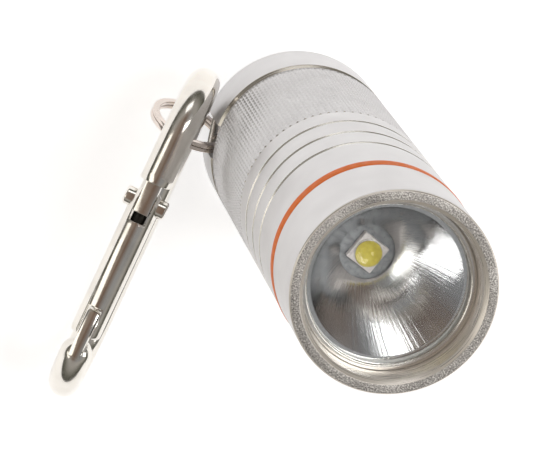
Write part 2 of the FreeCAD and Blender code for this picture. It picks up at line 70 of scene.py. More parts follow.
# body tube
EDGE = 0.1
TAIL_ROUND = 0.9
TAIL_GROOVE_LOW = 7.2
TAIL_GROOVE_HIGH = 8.65
TAIL_GROOVE_DEPTH = 0.45
KNURL_LOW = 8.75
KNURL_TOP = 27.0
KNURL_END = KNURL_TOP - 0.2
KNURL_ROW = 0.105
KNURL_STARTS = 76
KNURL_LEAN = 1.05
KNURL_DEPTH = 0.2
RING_GROOVES = (30.8, 34.9, 39.0)
SLOT_AZIMUTH = math.radians(193.4)
SLOT_WIDTH = 3.6
SLOT_TOP = 8.25
SLOT_FLOOR = 6.6
SEAL_BORE_R = 8.95
SEAL_BORE_FLOOR = 43.6
THREAD_BORE_R = 8.8
THREAD_BORE_FLOOR = 37.9
CELL_BORE_R = 7.6
CELL_BORE_FLOOR = 9.2

# head
HEAD_BOTTOM = 47.07
RIM_EDGE = 0.15
SKIRT_BOTTOM = 38.3
SKIRT_R = 8.72
SKIRT_BORE_R = 7.7
SEAL_GROOVE_LOW = 44.2
SEAL_GROOVE_HIGH = 45.1
SEAL_GROOVE_R = 8.12
CUP_BORE_R = 8.45
CUP_BORE_FLOOR = 47.4
MOUTH_R = 8.62
MOUTH_CHAMFER = 0.4
INSERT_R = 8.4
RETAINER_THICK = 0.4
RETAINER_BORE_R = 7.85
CUP_R = 7.35
CUP_FOCAL = 1.17
CUP_HOLE_R = 2.75
CUP_WALL = 0.7
FLANGE_THICK = 0.8
FLANGE_ROOT_R = 7.55

# light source
LED_TURN = math.radians(75.4)
PACKAGE_HALF = 1.5
PHOSPHOR_R = 1.1
PHOSPHOR_THICK = 0.1
DOME_R = 1.4

# split ring
SPLIT_CENTRE = Vector((-12.1, -2.28, 4.42))
SPLIT_LEAN = math.radians(15.8)
SPLIT_R = 4.0
SPLIT_WIDE = 0.7
SPLIT_PITCH = 0.52
SPLIT_THICK = 0.47
SPLIT_TURNS = 1.92
SPLIT_ROUND = 0.13

# snap hook
ROD_R = 1.7
TOP_BEND = 5.6
LOW_BEND = 6.9
SPINE = 22.6
HOOK_CORNER = Vector((-12.05, -2.19, 2.95))
HOOK_LEAN = math.radians(15.5)
HOOK_PITCH = math.radians(3.0)
PIVOT_ALONG = 7.6
SHOULDER = math.radians(15)
TONGUE_BACK = 2.4
EYE_R = 0.65
GATE_R = 1.65
GATE_LENGTH = 15.3
GATE_END_ROUND = 0.5
RIVET_R = 0.6
RIVET_HEAD_R = 1.0
RIVET_HEAD_THICK = 0.95

# ---------------------------------------------------------------- mesh helpers


def add_object(name, mesh):
    obj = bpy.data.objects.new(name, mesh)
    bpy.context.scene.collection.objects.link(obj)
    return obj


def mesh_object(name, points, faces, smooth=True):
    """A mesh object from points in millimetres."""
    mesh = bpy.data.meshes.new(name)
    mesh.from_pydata([Vector(p) * MM for p in points], [], faces)
    mesh.validate()
    bm = bmesh.new()
    bm.from_mesh(mesh)
    bmesh.ops.remove_doubles(bm, verts=bm.verts, dist=1e-7)
    bmesh.ops.recalc_face_normals(bm, faces=bm.faces)
    bm.to_mesh(mesh)
    bm.free()
    for face in mesh.polygons:
        face.use_smooth = smooth
    return add_object(name, mesh)


def applied(obj):
    """Applies the object's modifiers."""
    graph = bpy.context.evaluated_depsgraph_get()
    mesh = bpy.data.meshes.new_from_object(obj.evaluated_get(graph))
    obj.modifiers.clear()
    obj.data = mesh
    return obj


def sharpened(obj, angle):
    """Keeps edges sharper than the angle, in degrees, out of the smooth shading."""
    obj.data.set_sharp_from_angle(angle=math.radians(angle))
    return obj


def finished(obj, sharp=35.0):
    """Applies the object's modifiers, and shades it smooth apart from edges sharper than the angle."""
    applied(obj)
    for face in obj.data.polygons:
        face.use_smooth = True
    return sharpened(obj, sharp)


def shaded(obj, sharp=35.0):
    """Smooth shading in which large flat faces keep their own direction."""
    finished(obj, sharp)
    modifier = obj.modifiers.new("normals", "WEIGHTED_NORMAL")
    modifier.keep_sharp = True
    modifier.weight = 100
    return applied(obj)


def moved(obj, place):
    """Carries the mesh to its place by a matrix in millimetres."""
    obj.data.transform(Matrix.Diagonal((1 / MM, 1 / MM, 1 / MM, 1)))
    obj.data.transform(place)
    obj.data.transform(Matrix.Diagonal((MM, MM, MM, 1)))
    return obj


def eased(outline, radius, closed=True, steps=3):
    """The outline with each corner rounded off by a small arc. A corner may carry its own radius."""
    result = []
    count = len(outline)
    for i, corner in enumerate(outline):
        here = Vector(corner[:2])
        own = corner[2] if len(corner) > 2 else radius
        if not closed and i in (0, count - 1):
            result.append(here)
            continue
        before = Vector(outline[i - 1][:2]) - here
        after = Vector(outline[(i + 1) % count][:2]) - here
        reach = min(own, 0.45 * before.length, 0.45 * after.length)
        if reach < 1e-4:
            result.append(here)
            continue
        first = here + before.normalized() * reach
        last = here + after.normalized() * reach
        for k in range(steps + 1):
            f = k / steps
            result.append(first * (1 - f) ** 2 + here * 2 * f * (1 - f) + last * f * f)
    return result


def turned_faces(segments, count, closed):
    """Quads between neighbouring outlines of a turned mesh, all the way round."""
    faces = []
    for i in range(segments):
        here = i * count
        there = ((i + 1) % segments) * count
        for k in range(count if closed else count - 1):
            k2 = (k + 1) % count
            faces.append((here + k, there + k, there + k2, here + k2))
    return faces


def lathe(name, outline, segments, closed=True):
    """Turns an outline of (radius, height) about the light's axis."""
    points = []
    for i in range(segments):
        turn = TAU * i / segments
        points += [(r * math.cos(turn), r * math.sin(turn), z) for r, z in outline]
    return mesh_object(name, points, turned_faces(segments, len(outline), closed))


def tube_mesh(name, points, rings, count):
    """A tube through rings of points, with a flat cap at each end."""
    faces = []
    for i in range(rings - 1):
        for k in range(count):
            k2 = (k + 1) % count
            faces.append((i * count + k, i * count + k2, (i + 1) * count + k2, (i + 1) * count + k))
    faces.append(tuple(range(count)))
    faces.append(tuple(range((rings - 1) * count, rings * count)))
    return mesh_object(name, points, faces)


def sweep(name, path, section, normal):
    """Carries a closed section (across, along the normal) down a path that stays nearly in one plane."""
    points = []
    normal = Vector(normal).normalized()
    for i, here in enumerate(path):
        ahead = path[min(i + 1, len(path) - 1)] - path[max(i - 1, 0)]
        across = ahead.cross(normal).normalized()
        points += [here + across * a + normal * b for a, b in section]
    return tube_mesh(name, points, len(path), len(section))


def block(name, low, high, place):
    """A plain cutting or joining block between two corners, placed by a matrix in millimetres."""
    corners = [(x, y, z) for x in (low[0], high[0]) for y in (low[1], high[1]) for z in (low[2], high[2])]
    faces = [(0, 1, 3, 2), (4, 6, 7, 5), (0, 4, 5, 1), (2, 3, 7, 6), (0, 2, 6, 4), (1, 5, 7, 3)]
    return mesh_object(name, [place @ Vector(c) for c in corners], faces, smooth=False)


def joined(obj, tool, kind):
    """Boolean of two closed meshes; the tool is used up."""
    modifier = obj.modifiers.new("boolean", "BOOLEAN")
    modifier.operation = kind
    modifier.solver = "EXACT"
    modifier.object = tool
    finished(obj)
    bpy.data.objects.remove(tool, do_unlink=True)
    return obj


def worn_edges(obj, width, angle=40.0, segments=2):
    """Rounds edges sharper than the angle by the width."""
    modifier = obj.modifiers.new("bevel", "BEVEL")
    modifier.width = width * MM
    modifier.segments = segments
    modifier.limit_method = "ANGLE"
    modifier.angle_limit = math.radians(angle)
    return finished(obj)


# ---------------------------------------------------------------- materials


def ramp(tree, value, stops):
    """A ramp from (position, grey or colour) stops."""
    node = tree.nodes.new("ShaderNodeValToRGB")
    tree.links.new(value, node.inputs["Fac"])
    while len(node.color_ramp.elements) < len(stops):
        node.color_ramp.elements.new(0.5)
    for element, (position, colour) in zip(node.color_ramp.elements, stops):
        element.position = position
        colour = (colour, colour, colour) if isinstance(colour, (int, float)) else colour
        element.color = (*colour, 1)
    return node.outputs["Color"]


class Paint:
    """A principled material with helpers for its procedural detail."""

    def __init__(self, name, colour, metallic, rough, **sockets):
        self.material = bpy.data.materials.new(name)
        self.material.use_nodes = True
        self.tree = self.material.node_tree
        self.shader = self.tree.nodes["Principled BSDF"]
        self.set("Base Color", (*colour, 1))
        self.set("Metallic", metallic)
        self.set("Roughness", rough)
        for key, value in sockets.items():
            self.set(key.replace("_", " "), value)
        self.place = self.tree.nodes.new("ShaderNodeTexCoord").outputs["Object"]
        self.bump = None

    def set(self, socket, value):
        self.shader.inputs[socket].default_value = value

    def link(self, output, socket):
        self.tree.links.new(output, socket)

    def polar(self, radial, around, along):
        """Coordinates that run outward, round the light's axis and along it, for turned surfaces."""
        split = self.tree.nodes.new("ShaderNodeSeparateXYZ")
        self.link(self.place, split.inputs[0])
        turn = self.math("ARCTAN2", split.outputs[1], split.outputs[0])
        xx = self.math("MULTIPLY", split.outputs[0], split.outputs[0])
        yy = self.math("MULTIPLY", split.outputs[1], split.outputs[1])
        out = self.math("SQRT", self.math("ADD", xx, yy))
        combine = self.tree.nodes.new("ShaderNodeCombineXYZ")
        self.link(self.math("MULTIPLY", out, radial), combine.inputs[0])
        self.link(self.math("MULTIPLY", turn, around), combine.inputs[1])
        self.link(self.math("MULTIPLY", split.outputs[2], along), combine.inputs[2])
        return combine.outputs[0]

    def math(self, kind, a, b=None):
        node = self.tree.nodes.new("ShaderNodeMath")
        node.operation = kind
        for socket, value in zip(node.inputs, (a, b)):
            if value is None:
                continue
            if isinstance(value, (int, float)):
                socket.default_value = value
            else:
                self.link(value, socket)
        return node.outputs[0]

    def noise(self, scale, detail=4.0, vector=None, distortion=0.0):
        node = self.tree.nodes.new("ShaderNodeTexNoise")
        node.inputs["Scale"].default_value = scale
        node.inputs["Detail"].default_value = detail
        node.inputs["Distortion"].default_value = distortion
        self.link(vector or self.place, node.inputs["Vector"])
        return node.outputs["Fac"]

    def colour(self, value, stops):
        self.link(ramp(self.tree, value, stops), self.shader.inputs["Base Color"])

    def rough(self, value, low, high):
        stops = [(0.3, low), (0.7, high)]
        self.link(ramp(self.tree, value, stops), self.shader.inputs["Roughness"])

    def relief(self, height, depth):
        """Adds bump of that depth in millimetres."""
        node = self.tree.nodes.new("ShaderNodeBump")
        node.inputs["Strength"].default_value = 1.0
        node.inputs["Distance"].default_value = depth * MM
        self.link(height, node.inputs["Height"])
        if self.bump:
            self.link(self.bump, node.inputs["Normal"])
        self.bump = node.outputs["Normal"]
        self.link(self.bump, self.shader.inputs["Normal"])


def anodised():
    """Fine satin aluminium with a faint change of tint."""
    paint = Paint("anodised_aluminium", (0.64, 0.63, 0.64), 0.75, 0.42)
    tint = paint.noise(90, 3)
    paint.colour(tint, [(0.3, (0.63, 0.62, 0.63)), (0.7, (0.69, 0.685, 0.695))])
    paint.rough(paint.noise(400, 5), 0.36, 0.48)
    paint.relief(paint.noise(9000, 2), 0.012)
    paint.relief(paint.noise(250, 3), 0.02)
    return paint.material


def blasted():
    """The head's front rim: bright and dark grains."""
    paint = Paint("blasted_rim", (0.60, 0.58, 0.56), 1.0, 0.45)
    grain = paint.noise(6500, 2)
    patch = paint.noise(260, 3)
    mixed = paint.math("ADD", paint.math("MULTIPLY", grain, 0.75), paint.math("MULTIPLY", patch, 0.25))
    paint.colour(mixed, [(0.36, (0.20, 0.19, 0.18)), (0.5, (0.46, 0.44, 0.42)), (0.62, (0.86, 0.84, 0.81))])
    paint.rough(grain, 0.34, 0.6)
    paint.relief(grain, 0.05)
    paint.relief(paint.noise(2600, 2), 0.02)
    return paint.material


def machined(name, colour, rough=0.2, metallic=1.0):
    """Turned metal with fine lines round the axis."""
    paint = Paint(name, colour, metallic, rough)
    lines = paint.noise(1.0, 3, paint.polar(9000, 1.5, 9000))
    dark = [c * 0.82 for c in colour]
    paint.colour(lines, [(0.3, dark), (0.65, colour)])
    paint.rough(lines, rough * 0.8, rough * 1.5)
    paint.relief(lines, 0.006)
    return paint.material


def mirror_cup():
    """The metallised cup: haze, and faint streaks that run down it."""
    paint = Paint("mirror_cup", (0.86, 0.86, 0.87), 1.0, 0.1)
    haze = paint.noise(300, 5)
    paint.rough(haze, 0.05, 0.11)
    streaks = paint.noise(1.0, 4, paint.polar(60, 26, 60), 0.4)
    paint.colour(streaks, [(0.3, (0.80, 0.80, 0.81)), (0.7, (0.90, 0.90, 0.90))])
    paint.relief(streaks, 0.02)
    paint.relief(paint.noise(1400, 4), 0.003)
    return paint.material


def chrome(name, colour, rough=0.1):
    """Nickel plate with soft waves and light wear."""
    paint = Paint(name, colour, 1.0, rough)
    soft = paint.noise(160, 2)
    dull = [c * 0.9 for c in colour]
    paint.colour(paint.noise(420, 5), [(0.35, dull), (0.6, colour)])
    paint.rough(paint.noise(900, 6), rough * 0.7, rough * 2.2)
    paint.relief(soft, 0.025)
    paint.relief(paint.noise(2600, 4), 0.003)
    return paint.material


def rubber(name, colour):
    paint = Paint(name, colour, 0.0, 0.5, Specular_IOR_Level=0.1)
    light = [min(1, c * 1.05) for c in colour]
    dark = [c * 0.92 for c in colour]
    paint.colour(paint.noise(1800, 4), [(0.35, dark), (0.65, light)])
    paint.rough(paint.noise(1500, 4), 0.34, 0.55)
    paint.relief(paint.noise(4000, 3), 0.01)
    return paint.material


def glass(name, tint, ior):
    paint = Paint(name, tint, 0.0, 0.0, Transmission_Weight=1.0, IOR=ior)
    paint.relief(paint.noise(120, 2), 0.0008)
    return paint.material


def moulded(name, dark, light, rough, scale, **sockets):
    """Plastic, ceramic or board, mottled at the given scale."""
    paint = Paint(name, light, 0.0, rough, **sockets)
    paint.colour(paint.noise(scale, 4), [(0.35, dark), (0.65, light)])
    paint.rough(paint.noise(scale * 2, 4), rough * 0.85, rough * 1.2)
    paint.relief(paint.noise(scale * 4, 3), 0.01)
    return paint.material


def metal(name, dark, light, rough):
    """Plain plated or rolled metal."""
    paint = Paint(name, light, 1.0, rough)
    paint.colour(paint.noise(500, 4), [(0.35, dark), (0.65, light)])
    paint.rough(paint.noise(1500, 5), rough * 0.7, rough * 1.4)
    paint.relief(paint.noise(3000, 3), 0.004)
    return paint.material


ANODISED = anodised()
RIM = blasted()
BRIGHT = machined("machined_bright", (0.88, 0.86, 0.82), 0.2)
# painted shade: a darker copy of the bright machined metal, for grooves that should read as shaded
GROOVE_PAINTED_SHADE = machined("machined_groove_painted_shade", (0.56, 0.53, 0.48), 0.2)
BORE = machined("machined_bore", (0.90, 0.85, 0.79), 0.28, 0.6)
CUP = mirror_cup()
CHROME = chrome("nickel_plate", (0.82, 0.79, 0.74))
RING_NICKEL = chrome("nickel_plate_worn", (0.80, 0.72, 0.67), 0.14)
ORANGE = rubber("orange_rubber", (0.74, 0.145, 0.004))
BLACK = rubber("black_rubber", (0.02, 0.02, 0.02))
SILICONE = rubber("white_silicone", (0.72, 0.72, 0.70))
LENS = glass("lens_glass", (0.97, 0.98, 0.98), 1.5)
DOME = glass("clear_dome", (0.98, 0.98, 0.95), 1.42)
CERAMIC = moulded("white_ceramic", (0.62, 0.58, 0.56), (0.80, 0.76, 0.73), 0.35, 2500)
PHOSPHOR = moulded("yellow_phosphor", (0.58, 0.47, 0.03), (0.70, 0.59, 0.06), 0.5, 3000)
BOARD = moulded("grey_board", (0.24, 0.25, 0.26), (0.35, 0.365, 0.38), 0.3, 1500)
GREEN = moulded("green_board", (0.02, 0.12, 0.05), (0.04, 0.2, 0.08), 0.3, 900)
CHIP = moulded("black_chip", (0.01, 0.01, 0.01), (0.03, 0.03, 0.03), 0.3, 2500)
CLEAR = moulded("frosted_sleeve", (0.60, 0.60, 0.57), (0.74, 0.74, 0.71), 0.35, 600, Transmission_Weight=0.4)
STEEL = metal("satin_steel", (0.48, 0.47, 0.46), (0.66, 0.65, 0.63), 0.28)
# painted shade: near-black steel for the gate's plunger, standing in for the shade inside the gate's slot
PLUNGER_PAINTED_SHADE = metal("plunger_steel_painted_shade", (0.03, 0.03, 0.028), (0.07, 0.07, 0.065), 0.4)
BRASS = metal("plated_brass", (0.55, 0.40, 0.16), (0.78, 0.60, 0.28), 0.25)


def clothe(obj, *materials):
    obj.data.materials.clear()
    for material in materials:
        obj.data.materials.append(material)
    return obj


def paint_faces(obj, choose):
    """Gives each face the material index that choose(radius, height, upward slope) says."""
    for face in obj.data.polygons:
        centre = face.center / MM
        face.material_index = choose(math.hypot(centre.x, centre.y), centre.z, face.normal.z)


# ---------------------------------------------------------------- body tube


def knurl_height(turn, z):
    """Depth of cut of two crossing sets of V grooves."""
    lean = KNURL_STARTS * turn
    climb = z * TAU * KNURL_LEAN
    cut = 0.0
    for way in (1, -1):
        phase = (lean + way * climb) / TAU
        near = abs(phase - round(phase)) * 2
        cut = max(cut, 1 - near / 0.75)
    return KNURL_DEPTH * max(0.0, cut)


def groove_outline(middle, width, depth):
    """A groove with sloping walls, from its lower edge to its upper edge."""
    edge = 0.05
    return [
        (BODY_R, middle - 0.5 * width, edge),
        (BODY_R - depth, middle - 0.12 * width, edge),
        (BODY_R - depth, middle + 0.12 * width, edge),
        (BODY_R, middle + 0.5 * width, edge),
    ]


def make_tube():
    floor_r = BODY_R - TAIL_GROOVE_DEPTH
    flat = 0.3 * TAIL_ROUND
    lower = [
        (0.0, 0.0),
        (BODY_R - TAIL_ROUND, 0.0, 0.3),
        (BODY_R - flat, flat, 0.3),
        (BODY_R, TAIL_ROUND, 0.3),
        (BODY_R, TAIL_GROOVE_LOW, 0.08),
        (floor_r, TAIL_GROOVE_LOW + 0.3, 0.05),
        (floor_r, TAIL_GROOVE_HIGH - 0.15, 0.05),
        (BODY_R, TAIL_GROOVE_HIGH, 0.05),
    ]
    # the knurl runs out into the groove above it, so that groove has no lower edge
    upper = groove_outline(KNURL_TOP, 0.5, 0.25)[1:]
    for middle in RING_GROOVES:
        upper += groove_outline(middle, 0.6, 0.3)
    upper += [
        (BODY_R, TUBE_TOP - EDGE, 0.05),
        (BODY_R - EDGE, TUBE_TOP, 0.05),
        (SEAL_BORE_R, TUBE_TOP, 0.04),
        (SEAL_BORE_R, SEAL_BORE_FLOOR),
        (THREAD_BORE_R, SEAL_BORE_FLOOR - (SEAL_BORE_R - THREAD_BORE_R)),
        (THREAD_BORE_R, THREAD_BORE_FLOOR),
        (CELL_BORE_R, THREAD_BORE_FLOOR),
        (CELL_BORE_R, CELL_BORE_FLOOR),
        (0.0, CELL_BORE_FLOOR),
    ]
    segments = KNURL_STARTS * 8
    low_rows = eased(lower, 0.05, closed=False)
    high_rows = eased(upper, 0.05, closed=False)
    rows = int((KNURL_END - KNURL_LOW) / KNURL_ROW)
    knurl_rows = [KNURL_LOW + (KNURL_END - KNURL_LOW) * i / rows for i in range(rows + 1)]
    outline = [(r, z, False) for r, z in low_rows]
    outline += [(BODY_R, z, True) for z in knurl_rows]
    outline += [(r, z, False) for r, z in high_rows]
    points = []
    for i in range(segments):
        turn = TAU * i / segments
        for r, z, knurled in outline:
            if knurled:
                r = r - knurl_height(turn, z)
            points.append((r * math.cos(turn), r * math.sin(turn), z))
    tube = mesh_object("tube_shell", points, turned_faces(segments, len(outline), False))
    place = Matrix.Rotation(SLOT_AZIMUTH, 4, "Z")
    half = 0.5 * SLOT_WIDTH
    slot = block("slot_tool", (SLOT_FLOOR, -half, -1), (BODY_R + 2, half, SLOT_TOP), place)
    sharpened(joined(tube, slot, "DIFFERENCE"), 30)
    clothe(tube, ANODISED, BRIGHT, GROOVE_PAINTED_SHADE)
    satin, bright, dull = range(3)

    def pick(out, height, _):
        sunk = 0.01 < BODY_R - out < 0.5
        # painted shade: the tail groove and the groove where the knurl runs out take the darker machined
        # copy, standing in for the shade in them
        if TAIL_GROOVE_LOW - 0.1 < height < TAIL_GROOVE_HIGH and 0.005 < BODY_R - out < 0.7:
            return dull
        if KNURL_TOP - 0.21 < height < KNURL_TOP + 0.08 and sunk:
            return dull
        in_ring_groove = sunk and any(abs(height - middle) < 0.31 for middle in RING_GROOVES)
        inside = out < SEAL_BORE_R + 0.02 and height > CELL_BORE_FLOOR - 0.2
        return bright if in_ring_groove or inside else satin

    paint_faces(tube, pick)
    return tube


# ---------------------------------------------------------------- head


def make_head():
    outline = [
        (SKIRT_R, SKIRT_BOTTOM),
        (SKIRT_R, SEAL_GROOVE_LOW),
        (SEAL_GROOVE_R, SEAL_GROOVE_LOW),
        (SEAL_GROOVE_R, SEAL_GROOVE_HIGH),
        (SKIRT_R, SEAL_GROOVE_HIGH),
        (SKIRT_R, HEAD_BOTTOM),
        (BODY_R - EDGE, HEAD_BOTTOM, 0.04),
        (BODY_R, HEAD_BOTTOM + EDGE, 0.04),
        (BODY_R, TOP - RIM_EDGE, 0.03),
        (BODY_R - RIM_EDGE, TOP, 0.03),
        (MOUTH_R + MOUTH_CHAMFER, TOP, 0.03),
        (MOUTH_R, TOP - MOUTH_CHAMFER, 0.03),
        (CUP_BORE_R, RETAINER_TOP, 0.02),
        (CUP_BORE_R, CUP_BORE_FLOOR),
        (SKIRT_BORE_R, CUP_BORE_FLOOR),
        (SKIRT_BORE_R, SKIRT_BOTTOM),
    ]
    head = shaded(lathe("head_shell_turned", eased(outline, 0.05), 256), 30)
    clothe(head, ANODISED, RIM, BORE)
    satin, rim, bore = range(3)
    skin = RIM_EDGE - 0.01

    def pick(out, height, upward):
        if out > BODY_R - skin and upward < 0.9 and height < TOP - skin:
            return satin
        return rim if upward > 0.93 and out > 9.0 else bore

    paint_faces(head, pick)
    return head


def make_retainer():
    low = RETAINER_TOP - RETAINER_THICK
    bevel = 0.12
    outline = [
        (RETAINER_BORE_R, low),
        (INSERT_R, low),
        (INSERT_R, RETAINER_TOP, 0.03),
        (RETAINER_BORE_R + bevel, RETAINER_TOP, 0.05),
        (RETAINER_BORE_R, RETAINER_TOP - bevel, 0.05),
    ]
    ring = shaded(lathe("retaining_ring_turned", eased(outline, 0.02), 256))
    return clothe(ring, BRIGHT)


def make_lens():
    bevel = 0.04
    outline = [
        (0.0, LENS_LOW),
        (INSERT_R - bevel, LENS_LOW, 0.03),
        (INSERT_R, LENS_LOW + bevel, 0.02),
        (INSERT_R, LENS_TOP - bevel, 0.02),
        (INSERT_R - bevel, LENS_TOP, 0.03),
        (0.0, LENS_TOP),
    ]
    lens = shaded(lathe("lens_disc", eased(outline, 0.02, closed=False), 192, closed=False))
    lens.visible_shadow = False
    return clothe(lens, LENS)


def make_cup():
    """The mirror: a paraboloid with a thin rim flange."""
    latus = 4 * CUP_FOCAL
    vertex = CUP_TOP - CUP_R**2 / latus
    steps = 48
    inner = [CUP_HOLE_R + (CUP_R - CUP_HOLE_R) * i / steps for i in range(steps + 1)]
    outline = [(r, vertex + r * r / latus) for r in inner]
    outline += [(CUP_R + 0.07, CUP_TOP), (INSERT_R, CUP_TOP)]
    outline += [(INSERT_R, CUP_TOP - FLANGE_THICK), (FLANGE_ROOT_R, CUP_TOP - FLANGE_THICK)]
    backed = [r for r in reversed(inner) if r + CUP_WALL < FLANGE_ROOT_R]
    outline += [(r + CUP_WALL, vertex + r * r / latus) for r in backed]
    return clothe(sharpened(lathe("reflector_cup", outline, 256), 30), CUP)


def make_seal():
    """A band squeezed between the tube and the head: it fills both chamfers and swells over their edges."""
    middle = 0.5 * (TUBE_TOP + HEAD_BOTTOM)
    lip = 0.78
    lip_r = BODY_R + 0.003
    swell = SEAL_R - lip_r
    root = [(8.93, -0.56), (9.89, -0.56)]
    outline = list(root)
    steps = 20
    for i in range(steps + 1):
        rise = lip * (2 * i / steps - 1)
        outline.append((lip_r + swell * math.sqrt(max(0, 1 - (rise / lip) ** 2)), rise))
    outline += [(r, -z) for r, z in reversed(root)]
    outline = [(r, middle + z) for r, z in outline]
    return clothe(shaded(lathe("orange_seal_moulded", outline, 256), 75), ORANGE)


# ---------------------------------------------------------------- light source


def make_led():
    """The ceramic package, the phosphor disc and the clear dome."""
    turn = Matrix.Rotation(LED_TURN, 4, "Z")
    half = PACKAGE_HALF
    low, high = BOARD_TOP, PACKAGE_TOP
    package = block("led_package_body", (-half, -half, low), (half, half, high), turn)
    worn_edges(package, 0.08, segments=3)
    clothe(package, CERAMIC)
    disc_top = high + PHOSPHOR_THICK
    outline = [(0.0, high), (PHOSPHOR_R, high, 0.01), (PHOSPHOR_R, disc_top, 0.04), (0.0, disc_top)]
    disc = lathe("led_phosphor_disc", eased(outline, 0.03, closed=False), 64, closed=False)
    phosphor = clothe(disc, PHOSPHOR)
    # the dome is hollowed just clear of the disc
    gap, side_gap = 0.001, 0.01
    hollow_r = PHOSPHOR_R + side_gap
    arc = [(0.0, disc_top + gap), (hollow_r, disc_top + gap), (hollow_r, high + gap)]
    arc.append((DOME_R - side_gap, high + gap))
    steps = 24
    for i in range(steps + 1):
        a = 0.5 * math.pi * i / steps
        arc.append((DOME_R * math.cos(a), high + DOME_R * math.sin(a)))
    dome = clothe(lathe("led_dome_clear", arc, 96, closed=False), DOME)
    sharpened(dome, 40)
    dome.visible_shadow = False
    return package, phosphor, dome


# ---------------------------------------------------------------- split ring


def make_split_ring():
    """A flat wire wound nearly twice round."""
    rise = SPLIT_PITCH * SPLIT_TURNS
    steps = 260
    place = Matrix.Translation(SPLIT_CENTRE) @ Matrix.Rotation(SPLIT_LEAN - 0.5 * math.pi, 4, "X")
    path = []
    for i in range(steps + 1):
        f = i / steps
        turn = TAU * SPLIT_TURNS * f
        here = Vector((SPLIT_R * math.cos(turn), SPLIT_R * math.sin(turn), rise * (f - 0.5)))
        path.append(place @ here)
    w, h = 0.5 * SPLIT_WIDE, 0.5 * SPLIT_THICK
    section = eased([(-w, -h), (w, -h), (w, h), (-w, h)], SPLIT_ROUND, steps=4)
    normal = place.to_3x3() @ Vector((0, 0, 1))
    ring = sweep("split_ring_coil", path, [tuple(p) for p in section], normal)
    return clothe(sharpened(ring, 60), RING_NICKEL)


# ---------------------------------------------------------------- snap hook

# in the hook's own plane x runs down the spine, y across to the gate, and z along the rivet
SLOPE = 2 * math.atan((LOW_BEND - TOP_BEND) / SPINE)
GATE_WAY = Vector((math.cos(SLOPE), math.sin(SLOPE), 0))
GATE_OUT = Vector((-math.sin(SLOPE), math.cos(SLOPE), 0))
GATE_START = Vector((0, TOP_BEND, 0)) + GATE_OUT * TOP_BEND
PIVOT = GATE_START + GATE_WAY * PIVOT_ALONG
UPRIGHT = Matrix(((0, 0, -1, 0), (-1, 0, 0, 0), (0, 1, 0, 0), (0, 0, 0, 1)))
HOOK_PLACE = (
    Matrix.Translation(HOOK_CORNER)
    @ Matrix.Rotation(-HOOK_LEAN, 4, "Y")
    @ UPRIGHT
    @ Matrix.Rotation(-HOOK_PITCH, 4, "Z")
)
GATE_PLACE = HOOK_PLACE @ Matrix.Translation(PIVOT) @ Matrix.Rotation(SLOPE, 4, "Z")


def circle_section(radius, count):
    return [(radius * math.cos(TAU * i / count), radius * math.sin(TAU * i / count)) for i in range(count)]


def bar(name, low, high, height, thick):
    """A block along the gate, from low to high past the pivot."""
    half_height, half_thick = 0.5 * height, 0.5 * thick
    return block(name, (low, -half_height, -half_thick), (high, half_height, half_thick), GATE_PLACE)


def hook_path():
    """The rod's middle line: round the low bend from the nose, up the spine, round the top to the tongue."""
    path = []
    steps = 56
    for i in range(steps + 1):
        turn = SHOULDER + (math.pi - SHOULDER) * i / steps
        path.append(Vector((SPINE + LOW_BEND * math.sin(turn), LOW_BEND * (1 + math.cos(turn)), 0)))
    for i in range(1, 16):
        path.append(Vector((SPINE * (1 - i / 16), 0, 0)))
    for i in range(steps + 1):
        turn = (math.pi - SLOPE) * i / steps
        path.append(Vector((-TOP_BEND * math.sin(turn), TOP_BEND * (1 - math.cos(turn)), 0)))
    for i in range(1, 7):
        path.append(GATE_START + GATE_WAY * (PIVOT_ALONG - TONGUE_BACK) * i / 6)
    return path


def make_rod(path):
    """The bent rod. Its nose end closes in a rounded shoulder, and its tongue end in a worn edge."""
    section = circle_section(ROD_R, 48)
    heading = (path[0] - path[1]).normalized()
    tip = []
    rounds = 10
    for i in range(rounds, 0, -1):
        a = 0.5 * math.pi * i / rounds
        tip.append((path[0] + heading * ROD_R * math.sin(a), max(0.02, math.cos(a))))
    points = []
    rings = tip + [(p, 1.0) for p in path]
    end = path[-1]
    rings += [(end + GATE_WAY * 0.08, 0.97), (end + GATE_WAY * 0.12, 0.9)]
    normal = Vector((0, 0, 1))
    for i, (here, scale) in enumerate(rings):
        if i < len(tip):
            ahead = -heading
        elif i >= len(rings) - 3:
            ahead = GATE_WAY
        else:
            ahead = rings[i + 1][0] - rings[max(i - 1, len(tip))][0]
        across = ahead.cross(normal).normalized()
        points += [HOOK_PLACE @ (here + across * a * scale + normal * b * scale) for a, b in section]
    return tube_mesh("hook_body", points, len(rings), len(section))


def make_hook():
    """The rod with the gate's tongue, the nose that the gate shuts on, and the rivet's eye."""
    path = hook_path()
    hook = make_rod(path)
    tongue = bar("tongue", -TONGUE_BACK - 0.6, 1.15, 2.7, 1.75)
    worn_edges(tongue, 0.2)
    joined(hook, tongue, "UNION")
    nose_end = (path[0] - PIVOT).dot(GATE_WAY) + 0.4
    nose = bar("nose", 12.4, nose_end, 2.5, 1.35)
    worn_edges(nose, 0.3)
    joined(hook, nose, "UNION")
    half = 3.0
    eye = pin_mesh("eye_tool", [(0.0, -half), (EYE_R, -half), (EYE_R, half), (0.0, half)])
    joined(hook, eye, "DIFFERENCE")
    return clothe(sharpened(hook, 40), CHROME)


def pin_mesh(name, outline):
    """A pin across the hook at the gate's pivot, turned from an outline of (radius, height)."""
    return moved(lathe(name, outline, 48, closed=False), GATE_PLACE)


